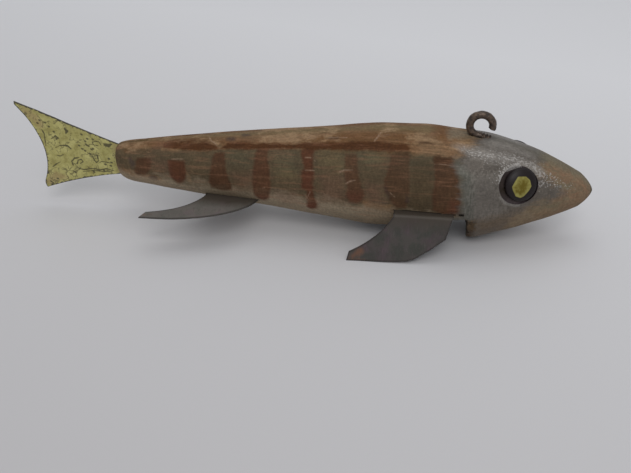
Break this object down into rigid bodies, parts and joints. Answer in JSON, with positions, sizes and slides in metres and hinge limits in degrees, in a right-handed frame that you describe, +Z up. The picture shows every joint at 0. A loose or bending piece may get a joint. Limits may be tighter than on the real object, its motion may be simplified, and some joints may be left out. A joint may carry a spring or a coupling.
{
  "type": "fish decoy",
  "caption": "Carved wooden fish with sheet metal tail and side fins, domed tack eyes and an open wire line eye on its back, standing level on its throat lip and bent pectoral fins.",
  "frame": {"origin": "The middle of the decoy's length and width, on the surface that it stands on.", "axes": "+X from the tail to the nose, along the body's level axis, +Y to the fish's left side, +Z up towards the line eye."},
  "size_m": [0.1792, 0.0478, 0.0406],
  "materials": {
    "painted_wood": "matte",
    "tail_sheet": "satin",
    "fin_sheet": "satin",
    "iron_wire": "matte",
    "eye_tack": "gloss"
  },
  "bodies": {
    "root": {"body": "painted_wood", "tail_fin": "tail_sheet", "pectoral_fin_right": "fin_sheet", "pectoral_fin_left": "fin_sheet", "pelvic_fin_right": "fin_sheet", "pelvic_fin_left": "fin_sheet", "line_eye": "iron_wire", "eye_tack_right": "eye_tack", "eye_tack_left": "eye_tack"}
  },
  "joints": []
}
